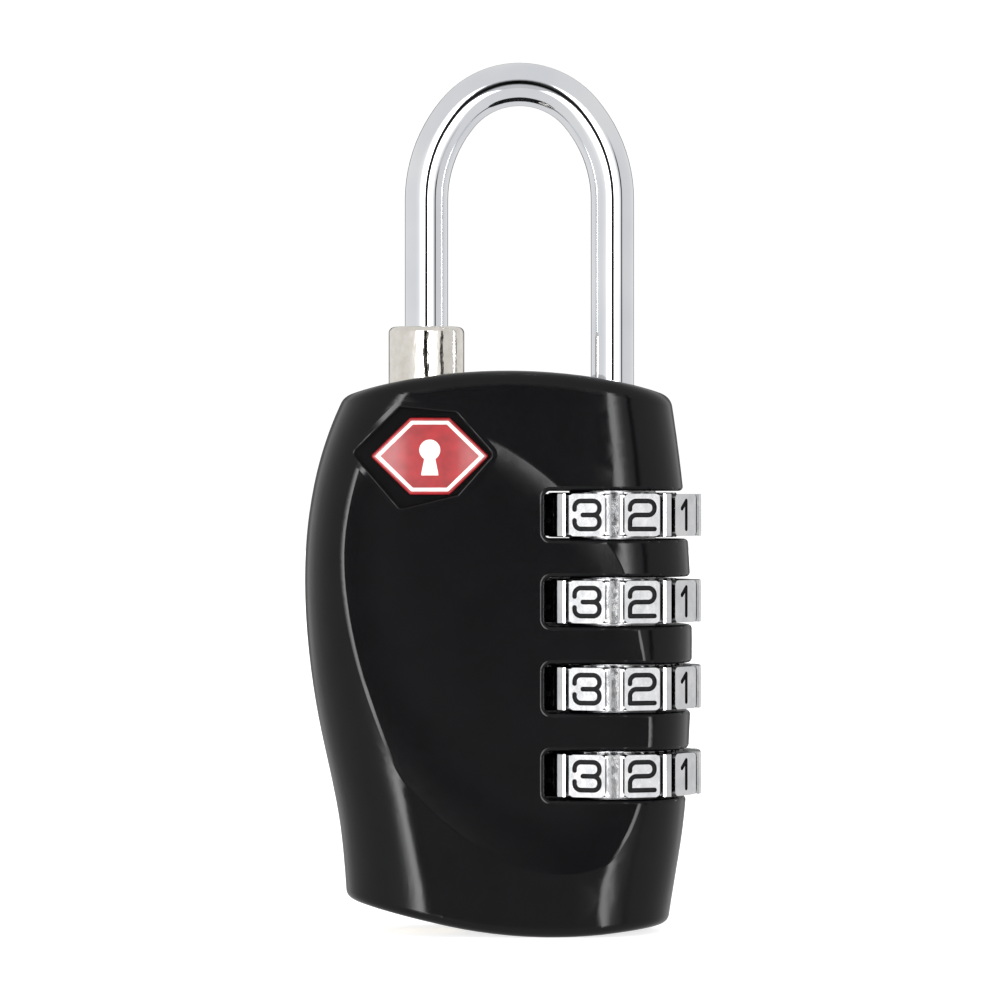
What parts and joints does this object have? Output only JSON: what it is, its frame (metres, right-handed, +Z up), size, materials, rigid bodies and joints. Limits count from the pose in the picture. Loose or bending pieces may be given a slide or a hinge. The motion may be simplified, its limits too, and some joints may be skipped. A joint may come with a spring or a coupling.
{
  "type": "combination padlock",
  "caption": "Slim travel padlock with a curved black case, a wire shackle, numbered dials on one side and a keyed release collar.",
  "frame": {"origin": "centre of the foot of the overall box, under the lowest point of the case", "axes": "+Z up along the shackle's legs, -Y out of the front face with the badge, +X towards the side the dials stand out of"},
  "size_m": [0.0365, 0.0168, 0.0803],
  "materials": {
    "painted_case": "black satin paint over a zinc casting, fine speckle in the highlights",
    "shackle_chrome": "bright chrome plate",
    "dial_chrome": "bright plated casting, black paint in the engraved digits",
    "collar_nickel": "satin nickel plate, slightly warm and mottled",
    "badge_enamel": "clear domed resin over a red and white print",
    "inner_steel": "machined, lightly greased",
    "spring_steel": "drawn wire and rolled strip",
    "key_brass": "machined brass"
  },
  "bodies": {
    "case": {"front_shell": "painted_case", "rear_shell": "painted_case", "badge": "badge_enamel", "key_cylinder": "key_brass", "stop_washer": "inner_steel", "reset_seat": "inner_steel", "reset_spring": "spring_steel", "detent_comb": "spring_steel", "assembly_pins": "inner_steel", "collar_seat": "inner_steel", "collar_spring": "spring_steel"},
    "shackle": {"shackle": "shackle_chrome"},
    "key_barrel": {"key_plug": "key_brass", "wafers": "key_brass", "release_cam": "inner_steel"},
    "collar": {"release_collar": "collar_nickel", "follower_pin": "inner_steel"},
    "dial_1": {"dial_1": "dial_chrome"},
    "sleeve_1": {"clutch_sleeve_1": "inner_steel"},
    "dial_2": {"dial_2": "dial_chrome"},
    "sleeve_2": {"clutch_sleeve_2": "inner_steel"},
    "dial_3": {"dial_3": "dial_chrome"},
    "sleeve_3": {"clutch_sleeve_3": "inner_steel"},
    "dial_4": {"dial_4": "dial_chrome"},
    "sleeve_4": {"clutch_sleeve_4": "inner_steel"}
  },
  "joints": [
    {"name": "shackle_lift", "type": "slide", "parent": "case", "child": "shackle", "axis": [0, 0, 1], "range_m": [0, 0.0079]},
    {"name": "key_turn", "type": "hinge", "parent": "case", "child": "key_barrel", "pos_m": [-0.0072, 0, 0.0118], "axis": [0, 0, 1], "range_deg": [0, 90]},
    {"name": "collar_drop", "type": "slide", "parent": "case", "child": "collar", "axis": [0, 0, -1], "range_m": [0, 0.0048], "stiffness_N_per_m": 60, "springref_m": -0.004, "deforming": ["collar_spring"]},
    {"name": "dial_1_spin", "type": "hinge", "parent": "case", "child": "dial_1", "pos_m": [0.01, 0, 0.03847], "axis": [0, 0, 1], "continuous": true},
    {"name": "reset_slide_1", "type": "slide", "parent": "dial_1", "child": "sleeve_1", "axis": [0, 0, -1], "range_m": [0, 0.0012], "stiffness_N_per_m": 40, "springref_m": -0.004},
    {"name": "dial_2_spin", "type": "hinge", "parent": "case", "child": "dial_2", "pos_m": [0.01, 0, 0.03057], "axis": [0, 0, 1], "continuous": true},
    {"name": "reset_slide_2", "type": "slide", "parent": "dial_2", "child": "sleeve_2", "axis": [0, 0, -1], "range_m": [0, 0.0012], "stiffness_N_per_m": 40, "springref_m": -0.004},
    {"name": "dial_3_spin", "type": "hinge", "parent": "case", "child": "dial_3", "pos_m": [0.01, 0, 0.02267], "axis": [0, 0, 1], "continuous": true},
    {"name": "reset_slide_3", "type": "slide", "parent": "dial_3", "child": "sleeve_3", "axis": [0, 0, -1], "range_m": [0, 0.0012], "stiffness_N_per_m": 40, "springref_m": -0.004},
    {"name": "dial_4_spin", "type": "hinge", "parent": "case", "child": "dial_4", "pos_m": [0.01, 0, 0.01477], "axis": [0, 0, 1], "continuous": true},
    {"name": "reset_slide_4", "type": "slide", "parent": "dial_4", "child": "sleeve_4", "axis": [0, 0, -1], "range_m": [0, 0.0012], "stiffness_N_per_m": 40, "springref_m": -0.004, "deforming": ["reset_spring"]}
  ],
  "couplings": [
    {"joint": "key_turn", "follows": "collar_drop", "rad_per_m": 327.24},
    {"joint": "reset_slide_2", "follows": "reset_slide_1", "ratio": 1},
    {"joint": "reset_slide_3", "follows": "reset_slide_1", "ratio": 1},
    {"joint": "reset_slide_4", "follows": "reset_slide_1", "ratio": 1}
  ]
}
